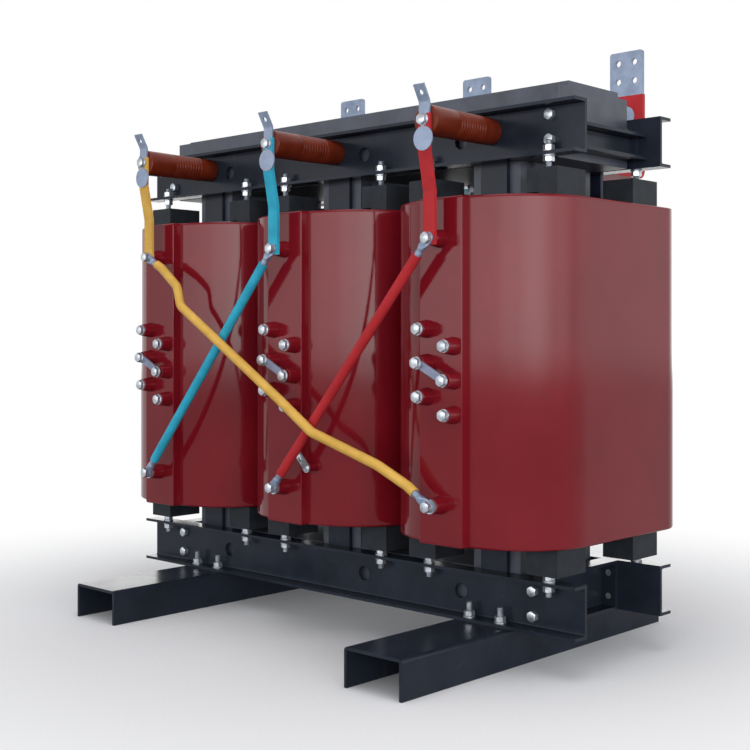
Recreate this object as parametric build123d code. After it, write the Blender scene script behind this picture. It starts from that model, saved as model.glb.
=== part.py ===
from build123d import *

import math
import os

# Cast-resin dry type transformer, three phases, millimetres.
# X runs along the row of phases, -Y is the high-voltage side, +Y the low-voltage side, +Z is up.
# The shapes are placed about the core: X=0 in the middle limb, Y=0 in the core's mid-plane.
# save() then moves them all so that the footprint's centre stands on the origin.

# ---- Core ------------------------------------------------------------------------------------
LIMB_WIDTH = 170.0
CORE_DEPTH = 302.0
MAIN_PACKET_DEPTH = 216.0
PACKET_STEP = 13.0
TOP_YOKE_HEIGHT = 188.0
TOP_YOKE_OVERHANG = 98.0
YOKE_PAD = 2.0
TIE_PLATE_WIDTH = 80.0
TIE_PLATE_THICKNESS = 12.0
TIE_PLATE_INSET = 8.0
TIE_PLATE_GAP = 0.5

# ---- Windings --------------------------------------------------------------------------------
LV_CLEARANCE_X = 15.0
LV_CLEARANCE_Y = 29.0
LV_BUILD = 60.0
LV_PROUD = 10.0
LV_CORNER = 90.0
COOLING_DUCT = 30.0
HV_BUILD_X = 70.0
HV_BUILD_Y = 80.0
FRONT_CROWN_RADIUS = 400.0
FRONT_CORNER = 130.0
REAR_CROWN_RADIUS = 480.0
REAR_CORNER = 90.0
HV_EDGE_ROUND = 6.0
COIL_HEIGHT = 821.0
PHASE_GAP = 18.0
PAD_WIDTH = 124.0
PAD_DRAFT = 4.0
PAD_PROUD = 20.0

# ---- Terminals and taps on the cast pads ---------------------------------------------------------
BOSS_TIP_DIAMETER = 34.0
BOSS_ROOT_DIAMETER = 44.0
BOSS_LENGTH = 31.0
TERMINAL_BELOW_TOP = 99.0
TERMINAL_ABOVE_BOTTOM = 97.0
TAP_COLUMN_SPACING = 80.0
TAP_PITCH = 80.0
TAP_STAGGER = 40.0
TAPS_PER_COLUMN = 3
LINK_WIDTH = 20.0

# ---- Frame -----------------------------------------------------------------------------------
BASE_LENGTH = 1072.0
BASE_FRONT_REACH = 594.0
BASE_WIDTH = 176.0
BASE_HEIGHT = 94.0
BASE_INSET = 6.0
CLAMP_OVERHANG = 272.0
CLAMP_HEIGHT = 126.0
CLAMP_FLANGE = 50.0
STEEL = 8.0
INNER_BEND = 4.0
OUTER_BEND = 10.0
WEB_HOLE_DIAMETER = 39.0
WEB_HOLE_SPOTS = (-0.844, 0.191, 0.818)
LOWER_TIE_INSET = 174.0
UPPER_TIE_HEIGHT = 65.0
UPPER_TIE_RISE = 19.0
UPPER_TAB_REACH = 27.0
UPPER_TAB_RISE = 35.0

# ---- Coil blocks and the studs that press them --------------------------------------------------
BLOCK_WIDTH = 88.0
BLOCK_DEPTH = 115.0
BLOCK_HEIGHT = 67.0
BLOCK_PROUD = 6.5
BLOCK_INSET = 75.0
BLOCK_NOTCH_MARGIN = 15.0
UPPER_GAP = 31.0
STUD_TAIL = 22.0

# ---- Metric fasteners -----------------------------------------------------------------------------
SHANK = 16.0
SHANK_HOLE = 18.0
HEX_FLATS = 24.0
HEAD_HEIGHT = 10.0
NUT_HEIGHT = 13.0
WASHER_DIAMETER = 30.0
WASHER_THICKNESS = 3.0
BOLT_DEPTH = 20.0
FOOT_BOLT_SPACING = 96.0
FRAME_BOLT_SPACING = 60.0

# ---- High-voltage posts and leads -----------------------------------------------------------------
POST_DIAMETER = 72.0
POST_NECK_DIAMETER = 66.0
POST_LENGTH = 248.0
POST_AXIS_RISE = 76.0
POST_RIBS = 8
POST_RIB_PITCH = 9.0
POST_GROOVE = 2.5
STRIP_WIDTH = 32.0
STRIP_THICKNESS = 5.0
STRIP_BEND = 22.0
SLEEVE_WALL = 1.5
SLEEVE_ABOVE_BOLT = 14.0
FLAG_RISE = 42.0
FLAG_HEIGHT = 38.0
FLAG_LEAN = 21.0
FLAG_HOLE = 13.0
DISC_DIAMETER = 57.0
DISC_THICKNESS = 3.0
DISC_DROP = 44.0

# ---- Delta rods ------------------------------------------------------------------------------------
ROD_DIAMETER = 25.0
ROD_CORE_DIAMETER = 12.0
ROD_BEND = 30.0
LUG_PALM = 32.0
LUG_BARREL = 22.0
LUG_REACH = 51.0
LUG_BARREL_LENGTH = 27.0
LUG_LEAD = 25.0
LONG_ROD_CLEARANCE = 11.0
# The long rod's bends: X as a share of the phase pitch, Z as a share of the way from foot to top.
LONG_ROD_BENDS = ((-0.665, 0.853), (-0.639, 0.768), (0.115, 0.373), (0.335, 0.251), (0.755, 0.144))

SPARE_LUG_PALM = 24.0
SPARE_LUG_BARREL = 14.0
SPARE_LUG_BEYOND_EDGE = 27.0
SPARE_LUG_RISE = 55.0
SPARE_LUG_TAIL = 48.0
SPARE_LUG_LEAN = 41.0
SPARE_BOSS_DEPTH = 45.0

# ---- Low-voltage bars ------------------------------------------------------------------------------
BAR_WIDTH = 105.0
BAR_THICKNESS = 10.0
BAR_BEND = 20.0
BAR_Y = 445.0
BAR_RUN_RISE = 18.0
BAR_TOP_ABOVE_YOKE = 186.0
BAR_BARE_LENGTH = 125.0
BAR_HOLE = 18.0
BAR_HOLE_SPACING = 52.0
BAR_HOLE_INSET = 31.0
BAR_CORNER = 8.0
BAR_FOOT_INSET = 1.0
BAR_DISC_DROP = 58.0

# ---- Places that follow from the sizes above ---------------------------------------------------------
LV_INNER = (LIMB_WIDTH / 2 + LV_CLEARANCE_X, CORE_DEPTH / 2 + LV_CLEARANCE_Y)
LV_OUTER = (LV_INNER[0] + LV_BUILD, LV_INNER[1] + LV_BUILD)
HV_INNER = (LV_OUTER[0] + COOLING_DUCT, LV_OUTER[1] + COOLING_DUCT)
HV_OUTER = (HV_INNER[0] + HV_BUILD_X, HV_INNER[1] + HV_BUILD_Y)
PHASE_PITCH = 2 * HV_OUTER[0] + PHASE_GAP
PHASES = {"a": -PHASE_PITCH, "b": 0.0, "c": PHASE_PITCH}

WEB_INNER = CORE_DEPTH / 2 + TIE_PLATE_GAP + TIE_PLATE_THICKNESS
WEB_OUTER = WEB_INNER + STEEL
FLANGE_TIP = WEB_INNER + CLAMP_FLANGE
FLANGE_MIDDLE = (WEB_OUTER + FLANGE_TIP) / 2
CLAMP_LENGTH = 2 * (PHASE_PITCH + CLAMP_OVERHANG)

LOWER_GAP = NUT_HEIGHT + WASHER_THICKNESS
LOWER_CLAMP_Z = BASE_HEIGHT
LOWER_CLAMP_TOP = LOWER_CLAMP_Z + CLAMP_HEIGHT
LOWER_BLOCK_Z = LOWER_CLAMP_TOP + LOWER_GAP
COIL_Z = LOWER_BLOCK_Z + BLOCK_HEIGHT
COIL_TOP = COIL_Z + COIL_HEIGHT
UPPER_BLOCK_TOP = COIL_TOP + BLOCK_HEIGHT
UPPER_CLAMP_Z = UPPER_BLOCK_TOP + UPPER_GAP
UPPER_CLAMP_TOP = UPPER_CLAMP_Z + CLAMP_HEIGHT
YOKE_TOP = UPPER_CLAMP_Z + TOP_YOKE_HEIGHT
LIMB_EDGE = PHASE_PITCH + LIMB_WIDTH / 2
TOP_YOKE_HALF = LIMB_EDGE + TOP_YOKE_OVERHANG

BASE_X = PHASE_PITCH - BASE_INSET
BLOCK_X = HV_OUTER[0] - BLOCK_INSET
BLOCK_Y = FLANGE_TIP + BLOCK_PROUD - BLOCK_DEPTH / 2
LOWER_TIE_X = PHASE_PITCH + CLAMP_OVERHANG - LOWER_TIE_INSET
UPPER_TIE_Z = UPPER_CLAMP_Z + UPPER_TIE_RISE

PAD_FACE = HV_OUTER[1] + PAD_PROUD
BOSS_FACE = PAD_FACE + BOSS_LENGTH
TOP_TERMINAL_Z = COIL_TOP - TERMINAL_BELOW_TOP
BOTTOM_TERMINAL_Z = COIL_Z + TERMINAL_ABOVE_BOTTOM
TAP_MIDDLE_Z = COIL_Z + COIL_HEIGHT / 2
SLEEVED_THICKNESS = STRIP_THICKNESS + 2 * SLEEVE_WALL
LUG_Y = -(BOSS_FACE + SLEEVED_THICKNESS + STRIP_THICKNESS / 2)
TAP_HEAD_FACE = BOSS_FACE + STRIP_THICKNESS + WASHER_THICKNESS + HEAD_HEIGHT
LONG_ROD_Y = -(TAP_HEAD_FACE + LONG_ROD_CLEARANCE + ROD_DIAMETER / 2)
FLOOR_SHIFT = BASE_FRONT_REACH - BASE_LENGTH / 2
POST_AXIS_Z = UPPER_CLAMP_Z + POST_AXIS_RISE
POST_FACE = WEB_OUTER + POST_LENGTH
BAR_TOP = YOKE_TOP + BAR_TOP_ABOVE_YOKE


# ---- Shared shapes -----------------------------------------------------------------------------------
def at(part, x=0.0, y=0.0, z=0.0):
    return Pos(x, y, z) * part


def box(x0, x1, y0, y1, z0, z1):
    size = Box(x1 - x0, y1 - y0, z1 - z0, align=(Align.MIN, Align.MIN, Align.MIN))
    return Pos(x0, y0, z0) * size


def drum(diameter, z0, z1):
    return Pos(0, 0, z0) * Cylinder(diameter / 2, z1 - z0, align=(Align.CENTER, Align.CENTER, Align.MIN))


def hexagon(z0, z1):
    outline = RegularPolygon(HEX_FLATS / 2, 6, major_radius=False)
    return extrude(Pos(0, 0, z0) * outline, z1 - z0)


def towards_front(part):
    """Turn a part built along +Z so that it points along -Y."""
    return Rot(90, 0, 0) * part


def towards_rear(part):
    return Rot(-90, 0, 0) * part


def channel(length, height, flange, thickness):
    """A C-section along X, with its web's back in the plane Y=0 and its flanges towards +Y."""
    outer = Pos(flange / 2, height / 2) * Rectangle(flange, height)
    inner = Pos((flange + thickness) / 2, height / 2) * Rectangle(flange - thickness, height - 2 * thickness)
    bar = extrude(Plane.YZ * (outer - inner), length / 2, both=True)
    inside = [e for e in bar.edges().filter_by(Axis.X) if abs(e.center().Y - thickness) < 0.01]
    return fillet(inside, INNER_BEND)


def ring(outer, inner, z0, z1):
    return extrude(Pos(0, 0, z0) * (outer - inner), z1 - z0)


def bent_strip(points, width, thickness, bend):
    """A flat bar of one width bent in the YZ plane, its middle line through the given points."""
    path = FilletPolyline(*[(0, y, z) for y, z in points], radius=bend)
    section = Plane(origin=path @ 0, x_dir=(1, 0, 0), z_dir=path % 0) * Rectangle(width, thickness)
    return sweep(section, path)


# ---- Frame -------------------------------------------------------------------------------------------
def base_channel(side):
    """A folded channel that stands on its two legs, open downwards."""
    legs = Rectangle(BASE_WIDTH, BASE_HEIGHT, align=(Align.CENTER, Align.MIN))
    hollow = Rectangle(BASE_WIDTH - 2 * STEEL, BASE_HEIGHT - STEEL, align=(Align.CENTER, Align.MIN))
    profile = fillet((legs - hollow).vertices().group_by(Axis.Y)[-1], OUTER_BEND)
    bar = Pos(0, -BASE_FRONT_REACH, 0) * extrude(Plane.XZ * profile, -BASE_LENGTH)
    holes = [at(drum(SHANK_HOLE, 0, BASE_HEIGHT + 1), dx, y)
             for dx in (-FOOT_BOLT_SPACING / 2, FOOT_BOLT_SPACING / 2)
             for y in (-FLANGE_MIDDLE, FLANGE_MIDDLE)]
    return at(bar - holes, side * BASE_X)


def stud_places():
    """Where the pressure studs stand: two to each coil on each side."""
    return [(x + sx * BLOCK_X, sy * FLANGE_MIDDLE)
            for x in PHASES.values() for sx in (-1, 1) for sy in (-1, 1)]


def foot_bolt_places():
    return [(sb * BASE_X + dx, sy * FLANGE_MIDDLE) for sb in (-1, 1)
            for dx in (-FOOT_BOLT_SPACING / 2, FOOT_BOLT_SPACING / 2) for sy in (-1, 1)]


def frame_bolt_places():
    """X and Z of the bolts that join the clamps to their end ties, at one end."""
    lower_x = LOWER_TIE_X + (STEEL + CLAMP_FLANGE) / 2
    lower_z = LOWER_CLAMP_Z + CLAMP_HEIGHT / 2
    upper_x = TOP_YOKE_HALF - UPPER_TAB_REACH / 4
    upper_z = UPPER_TIE_Z + UPPER_TIE_HEIGHT / 2 + UPPER_TAB_RISE / 2
    half = FRAME_BOLT_SPACING / 2
    return [(lower_x, lower_z - half), (lower_x, lower_z + half),
            (upper_x, upper_z - half), (upper_x, upper_z + half)]


def clamp(z0, side, has_posts=False):
    """One clamp beam: a channel with its web against the core and its flanges outwards."""
    beam = channel(CLAMP_LENGTH, CLAMP_HEIGHT, CLAMP_FLANGE, STEEL)
    middle = CLAMP_HEIGHT / 2
    is_lower = z0 < COIL_Z
    stud_flange = CLAMP_HEIGHT - STEEL if is_lower else 0.0
    cuts = []
    for spot in WEB_HOLE_SPOTS:
        hole = towards_rear(drum(WEB_HOLE_DIAMETER, -1, STEEL + 1))
        cuts.append(at(hole, side * spot * PHASE_PITCH, 0, middle))
    for x, z in frame_bolt_places():
        if z0 < z < z0 + CLAMP_HEIGHT:
            for end in (-1, 1):
                cuts.append(at(towards_rear(drum(SHANK_HOLE, -1, STEEL + 1)), end * x, 0, z - z0))
    stud_hole = drum(SHANK_HOLE, stud_flange - 1, stud_flange + STEEL + 1)
    for x, y in stud_places():
        if y > 0:
            cuts.append(at(stud_hole, x, y - WEB_INNER))
    if is_lower:
        for x, y in foot_bolt_places():
            if y > 0:
                cuts.append(at(drum(SHANK_HOLE, -1, STEEL + 1), x, y - WEB_INNER))
    if has_posts:
        for x in PHASES.values():
            cuts.append(at(towards_rear(drum(SHANK_HOLE, -1, STEEL + 1)), side * x, 0, POST_AXIS_RISE))
    beam = at(beam - cuts, 0, WEB_INNER, z0)
    return beam if side > 0 else Rot(0, 0, 180) * beam


def lower_end_tie(end):
    """A channel across the end of the lower clamps, flanges outwards, with a tapped tab at each clamp."""
    bar = Rot(0, 0, -90) * channel(2 * WEB_INNER, CLAMP_HEIGHT, CLAMP_FLANGE, STEEL)
    bar = at(bar, LOWER_TIE_X, 0, LOWER_CLAMP_Z)
    for sy in (-1, 1):
        y0, y1 = sorted((sy * WEB_INNER, sy * (WEB_INNER - TIE_PLATE_THICKNESS)))
        bar += box(LOWER_TIE_X, LOWER_TIE_X + CLAMP_FLANGE, y0, y1,
                   LOWER_CLAMP_Z + STEEL / 2, LOWER_CLAMP_TOP - STEEL / 2)
    for x, z in frame_bolt_places()[:2]:
        bar -= at(towards_rear(drum(SHANK, -WEB_INNER, WEB_INNER)), x, 0, z)
    return bar if end > 0 else Rot(0, 0, 180) * bar


def upper_end_tie(end):
    """A lighter channel across the top yoke's end, with tabs that run back along the clamps."""
    back = TOP_YOKE_HALF + TIE_PLATE_GAP
    bar = Rot(0, 0, -90) * channel(2 * WEB_INNER, UPPER_TIE_HEIGHT, CLAMP_FLANGE, STEEL)
    bar = at(bar, back, 0, UPPER_TIE_Z)
    for sy in (-1, 1):
        y0, y1 = sorted((sy * WEB_INNER, sy * (WEB_INNER - TIE_PLATE_THICKNESS)))
        bar += box(TOP_YOKE_HALF - UPPER_TAB_REACH, back + CLAMP_FLANGE / 2, y0, y1,
                   UPPER_TIE_Z, UPPER_TIE_Z + UPPER_TIE_HEIGHT + UPPER_TAB_RISE)
    for x, z in frame_bolt_places()[2:]:
        bar -= at(towards_rear(drum(SHANK, -WEB_INNER, WEB_INNER)), x, 0, z)
    return bar if end > 0 else Rot(0, 0, 180) * bar


# ---- Core --------------------------------------------------------------------------------------------
def stepped(main, outer):
    """A stack of sheet: the full middle packet with a smaller packet on each face."""
    half, full = MAIN_PACKET_DEPTH / 2, CORE_DEPTH / 2
    stack = box(main[0], main[1], -half, half, main[2], main[3])
    stack += box(outer[0], outer[1], -full, full, outer[2], outer[3])
    return stack


def bottom_yoke():
    end, z0, z1 = LIMB_EDGE, BASE_HEIGHT + YOKE_PAD, LOWER_CLAMP_TOP
    return stepped((-end, end, z0, z1), (-end + PACKET_STEP, end - PACKET_STEP, z0 + PACKET_STEP, z1))


def top_yoke():
    end, z0, z1 = TOP_YOKE_HALF, UPPER_CLAMP_Z, YOKE_TOP
    return stepped((-end, end, z0, z1), (-end, end, z0, z1 - PACKET_STEP))


def limb(x):
    half, z0, z1 = LIMB_WIDTH / 2, LOWER_CLAMP_TOP, UPPER_CLAMP_Z
    packet = half - PACKET_STEP
    return at(stepped((-half, half, z0, z1), (-packet, packet, z0, z1)), x)


def tie_plates():
    """Flat bars along the limbs that hold the upper clamps to the lower ones."""
    plates = []
    for x in PHASES.values():
        for sy in (-1, 1):
            y0, y1 = sorted((sy * WEB_INNER, sy * (WEB_INNER - TIE_PLATE_THICKNESS)))
            plate = box(x - TIE_PLATE_WIDTH / 2, x + TIE_PLATE_WIDTH / 2, y0, y1,
                        LOWER_CLAMP_Z + TIE_PLATE_INSET, UPPER_CLAMP_TOP - TIE_PLATE_INSET)
            if sy < 0:
                plate -= at(towards_rear(drum(SHANK, -WEB_INNER, WEB_INNER)), x, 0, POST_AXIS_Z)
            plates.append(plate)
    return plates


# ---- Windings ----------------------------------------------------------------------------------------
def coil_outline():
    """The coil's plan: straight sides, crowned front and rear faces, large corners, the front ones larger."""
    half_x, half_y = HV_OUTER
    slab = Rectangle(2 * half_x, 4 * half_y)
    front = Pos(0, FRONT_CROWN_RADIUS - half_y) * Circle(FRONT_CROWN_RADIUS)
    rear = Pos(0, half_y - REAR_CROWN_RADIUS) * Circle(REAR_CROWN_RADIUS)
    plan = slab & front & rear
    plan = fillet(plan.vertices().group_by(Axis.Y)[0], FRONT_CORNER)
    corners = [v for v in plan.vertices() if v.Y > 0 and abs(abs(v.X) - half_x) < 0.01]
    return fillet(corners, REAR_CORNER)


def boss_places():
    """X from the coil's middle, and Z, of every boss on a pad: two terminals, then the taps."""
    half = TAP_COLUMN_SPACING / 2
    first = TAP_MIDDLE_Z + TAP_PITCH * (TAPS_PER_COLUMN - 1) / 2
    taps = [(sx * half, first - i * TAP_PITCH - sx * TAP_STAGGER / 2)
            for sx in (-1, 1) for i in range(TAPS_PER_COLUMN)]
    return [(0.0, TOP_TERMINAL_Z), (0.0, BOTTOM_TERMINAL_Z)] + taps


def spare_lug_place():
    return PAD_WIDTH / 2 + SPARE_LUG_BEYOND_EDGE, -PAD_FACE, BOTTOM_TERMINAL_Z + SPARE_LUG_RISE


def hv_coil(x):
    """The cast high-voltage winding: hollow, with a terminal pad and tapered bosses on its front."""
    inner = RectangleRounded(2 * HV_INNER[0], 2 * HV_INNER[1], LV_CORNER + COOLING_DUCT)
    body = extrude(coil_outline(), COIL_HEIGHT)
    half = PAD_WIDTH / 2
    root = -HV_OUTER[1] + PAD_PROUD
    pad = Polyline((-half - PAD_DRAFT, root), (-half, -PAD_FACE), (half, -PAD_FACE),
                   (half + PAD_DRAFT, root), close=True)
    body += extrude(make_face(pad), COIL_HEIGHT)
    rims = body.faces().sort_by(Axis.Z)[0].edges() + body.faces().sort_by(Axis.Z)[-1].edges()
    body = fillet(rims, HV_EDGE_ROUND)
    body -= extrude(inner, COIL_HEIGHT)
    body = at(body, 0, 0, COIL_Z)
    boss = Cone(BOSS_ROOT_DIAMETER / 2, BOSS_TIP_DIAMETER / 2, BOSS_LENGTH,
                align=(Align.CENTER, Align.CENTER, Align.MIN))
    for bx, bz in boss_places():
        body += at(towards_front(boss), bx, -PAD_FACE, bz)
    for bx, bz in boss_places():
        body -= at(towards_front(drum(SHANK, -BOLT_DEPTH, 0)), bx, -BOSS_FACE, bz)
    if x == PHASES["b"]:
        body += at(towards_front(drum(SPARE_LUG_PALM - 4, -SPARE_BOSS_DEPTH, 0)), *spare_lug_place())
    return at(body, x)


def lv_winding(x):
    outer = RectangleRounded(2 * LV_OUTER[0], 2 * LV_OUTER[1], LV_CORNER)
    inner = RectangleRounded(2 * LV_INNER[0], 2 * LV_INNER[1], LV_CORNER - LV_BUILD)
    return at(ring(outer, inner, COIL_Z - LV_PROUD, COIL_TOP + LV_PROUD), x)


def coil_blocks(z0, notch_z):
    """Blocks between a coil and the clamp, stepped to bear on both windings."""
    x0, x1 = BLOCK_X - BLOCK_WIDTH / 2, BLOCK_X + BLOCK_WIDTH / 2
    y0, y1 = BLOCK_Y - BLOCK_DEPTH / 2, BLOCK_Y + BLOCK_DEPTH / 2
    block = box(x0, x1, y0, y1, z0, z0 + BLOCK_HEIGHT)
    block -= box(x0 - 1, LV_OUTER[0] + BLOCK_NOTCH_MARGIN, y0 - 1, y1 + 1, notch_z, notch_z + LV_PROUD)
    pair = [block, mirror(block, Plane.YZ)]
    four = pair + [mirror(b, Plane.XZ) for b in pair]
    return [at(b, x) for x in PHASES.values() for b in four]


# ---- Fasteners -----------------------------------------------------------------------------------------
def pressure_studs(flange_z, inward):
    """Studs through a clamp flange with a nut each side, their ends bearing on the blocks."""
    if inward > 0:
        stud = drum(SHANK, flange_z - NUT_HEIGHT - WASHER_THICKNESS - STUD_TAIL, LOWER_BLOCK_Z)
    else:
        stud = drum(SHANK, UPPER_BLOCK_TOP, flange_z + STEEL + WASHER_THICKNESS + NUT_HEIGHT + STUD_TAIL)
    return [at(stud, x, y) for x, y in stud_places()]


def nuts_on_flange(flange_z, places, below=True):
    """A washer and a nut above a flange, and the same below it, around studs."""
    above = drum(WASHER_DIAMETER, flange_z + STEEL, flange_z + STEEL + WASHER_THICKNESS)
    above += hexagon(flange_z + STEEL + WASHER_THICKNESS, flange_z + STEEL + WASHER_THICKNESS + NUT_HEIGHT)
    above -= drum(SHANK, flange_z, flange_z + 2 * (WASHER_THICKNESS + NUT_HEIGHT))
    under = drum(WASHER_DIAMETER, flange_z - WASHER_THICKNESS, flange_z)
    under += hexagon(flange_z - WASHER_THICKNESS - NUT_HEIGHT, flange_z - WASHER_THICKNESS)
    under -= drum(SHANK, flange_z - 2 * (WASHER_THICKNESS + NUT_HEIGHT), flange_z)
    kinds = [above, under] if below else [above]
    return [at(kind, x, y) for x, y in places for kind in kinds]


def foot_bolts():
    """Bolts up through the base channels and the lower clamps' flanges."""
    under = BASE_HEIGHT - STEEL
    bolt = hexagon(under - HEAD_HEIGHT, under)
    bolt += drum(SHANK, under, BASE_HEIGHT + STEEL + WASHER_THICKNESS + NUT_HEIGHT + STUD_TAIL)
    return [at(bolt, x, y) for x, y in foot_bolt_places()]


def front_bolt(grip):
    """A hexagon bolt along -Y whose washer seats at Y=0 and whose shank reaches back by the grip."""
    bolt = drum(WASHER_DIAMETER, 0, WASHER_THICKNESS)
    bolt += hexagon(WASHER_THICKNESS, WASHER_THICKNESS + HEAD_HEIGHT)
    bolt += drum(SHANK, -grip, 0)
    return towards_front(bolt)


def frame_bolts():
    bolt = at(front_bolt(STEEL + TIE_PLATE_THICKNESS), 0, -WEB_OUTER)
    bolts = []
    for x, z in frame_bolt_places():
        for end in (-1, 1):
            placed = at(bolt, end * x, 0, z)
            bolts += [placed, Rot(0, 0, 180) * placed]
    return bolts


def terminal_bolts():
    """Two bolts to a coil. The foot has no lead under its lug, so a thick washer packs it."""
    seat = -LUG_Y + STRIP_THICKNESS / 2
    bolt = front_bolt(seat - BOSS_FACE + BOLT_DEPTH)
    packing_z = BOSS_FACE - seat
    packed = bolt + towards_front(drum(BOSS_TIP_DIAMETER, packing_z, packing_z + SLEEVED_THICKNESS))
    top = [at(bolt, x, -seat, TOP_TERMINAL_Z) for x in PHASES.values()]
    return top + [at(packed, x, -seat, BOTTOM_TERMINAL_Z) for x in PHASES.values()]


def linked_taps():
    """The two taps that the link joins: the middle ones of the two columns."""
    taps = boss_places()[2:]
    return taps[TAPS_PER_COLUMN // 2], taps[TAPS_PER_COLUMN + TAPS_PER_COLUMN // 2]


def tap_bolts():
    bolts = []
    for x in PHASES.values():
        for place in boss_places()[2:]:
            packing = STRIP_THICKNESS if place in linked_taps() else 0.0
            bolt = front_bolt(BOLT_DEPTH + packing)
            bolts.append(at(bolt, x + place[0], -BOSS_FACE - packing, place[1]))
    return bolts


def tap_links():
    (x0, z0), (x1, z1) = linked_taps()
    length, tilt = math.hypot(x1 - x0, z1 - z0), math.degrees(math.atan2(z1 - z0, x1 - x0))
    ends = Locations((-length / 2, 0), (length / 2, 0))
    outline = SlotCenterToCenter(length, LINK_WIDTH) - ends * Circle(SHANK / 2)
    bar = towards_front(extrude(Rot(0, 0, tilt) * outline, STRIP_THICKNESS))
    return [at(bar, x + (x0 + x1) / 2, -BOSS_FACE, (z0 + z1) / 2) for x in PHASES.values()]


# ---- High-voltage posts and leads ------------------------------------------------------------------------
def post_insulator(x):
    """A tapered resin post with a grooved middle, tapped at both ends."""
    tip, root = POST_DIAMETER / 2, POST_NECK_DIAMETER / 2

    def radius(z):
        return root + (tip - root) * z / POST_LENGTH

    points = [(0, 0), (root, 0)]
    first = POST_LENGTH * 0.55 - POST_RIBS * POST_RIB_PITCH / 2
    for i in range(POST_RIBS):
        z = first + i * POST_RIB_PITCH
        points += [(radius(z), z), (radius(z) - POST_GROOVE, z + POST_RIB_PITCH / 2)]
    end = first + POST_RIBS * POST_RIB_PITCH
    points += [(radius(end), end), (tip, POST_LENGTH), (0, POST_LENGTH)]
    post = revolve(Plane.XZ * make_face(Polyline(*points, close=True)), Axis.Z)
    post -= drum(SHANK, POST_LENGTH - BOLT_DEPTH, POST_LENGTH + 1)
    post -= drum(SHANK, -1, BOLT_DEPTH)
    return at(towards_front(post), x, -WEB_OUTER, POST_AXIS_Z)


def post_bolts():
    """Bolts that hold the leads to the posts, and the studs that hold the posts to the clamp."""
    seat = POST_FACE + SLEEVED_THICKNESS
    bolt = at(front_bolt(seat - POST_FACE + BOLT_DEPTH), 0, -seat, POST_AXIS_Z)
    grip = STEEL + TIE_PLATE_THICKNESS
    stud = at(towards_front(drum(SHANK, -grip, BOLT_DEPTH)), 0, -WEB_OUTER, POST_AXIS_Z)
    return [at(b, x) for x in PHASES.values() for b in (bolt, stud)]


def lead_points():
    """The high-voltage strip's middle line in Y and Z, from the coil's terminal to the flag's tip."""
    y_low = -(BOSS_FACE + SLEEVE_WALL + STRIP_THICKNESS / 2)
    y_high = -(POST_FACE + SLEEVE_WALL + STRIP_THICKNESS / 2)
    rise = POST_AXIS_Z - TOP_TERMINAL_Z
    flag_z = POST_AXIS_Z + FLAG_RISE
    rising = [(y_low, TOP_TERMINAL_Z - STRIP_WIDTH / 2), (y_low, TOP_TERMINAL_Z + 0.4 * rise),
              (y_high, TOP_TERMINAL_Z + 0.75 * rise), (y_high, flag_z)]
    return rising + [(y_high - FLAG_LEAN, flag_z + FLAG_HEIGHT)]


def hv_lead(x):
    """A tinned strip from the terminal up past the post's end, its top bent out as a connection flag."""
    strip = bent_strip(lead_points(), STRIP_WIDTH, STRIP_THICKNESS, STRIP_BEND)
    for y, z in ((BOSS_FACE, TOP_TERMINAL_Z), (POST_FACE, POST_AXIS_Z)):
        strip -= at(towards_front(drum(SHANK, -1, 2 * STRIP_THICKNESS)), 0, -y, z)
    (y0, z0), (y1, z1) = lead_points()[-2:]
    lean = math.degrees(math.atan2(y0 - y1, z1 - z0))
    hole = Rot(90 + lean, 0, 0) * Cylinder(FLAG_HOLE / 2, 4 * STRIP_THICKNESS)
    strip -= at(hole, 0, (y0 + 1.1 * y1) / 2.1, (z0 + 1.1 * z1) / 2.1)
    return at(strip, x)


def lead_sleeve(x):
    """The coloured sleeve round the strip, from the strip's lower end to above the post's bolt."""
    points = lead_points()[:4]
    points[-1] = (points[-1][0], POST_AXIS_Z + SLEEVE_ABOVE_BOLT)
    outer = bent_strip(points, STRIP_WIDTH + 2 * SLEEVE_WALL, STRIP_THICKNESS + 2 * SLEEVE_WALL, STRIP_BEND)
    sleeve = outer - bent_strip(points, STRIP_WIDTH, STRIP_THICKNESS, STRIP_BEND)
    for y, z in ((BOSS_FACE, TOP_TERMINAL_Z), (POST_FACE, POST_AXIS_Z)):
        sleeve -= at(towards_front(drum(SHANK, -1, 2 * STRIP_THICKNESS)), 0, -y, z)
    return at(sleeve, x)


def marker_discs():
    """Round phase markers: one on each high-voltage lead and one on each low-voltage bar."""
    disc = towards_front(drum(DISC_DIAMETER, 0, DISC_THICKNESS))
    hv_y = -(POST_FACE + SLEEVED_THICKNESS)
    lv_y = BAR_Y - BAR_THICKNESS / 2 - SLEEVE_WALL
    hv = [at(disc, x, hv_y, POST_AXIS_Z - DISC_DROP) for x in PHASES.values()]
    lv = [at(disc, x, lv_y, BAR_TOP - BAR_BARE_LENGTH - BAR_DISC_DROP) for x in PHASES.values()]
    return hv + lv


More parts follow.
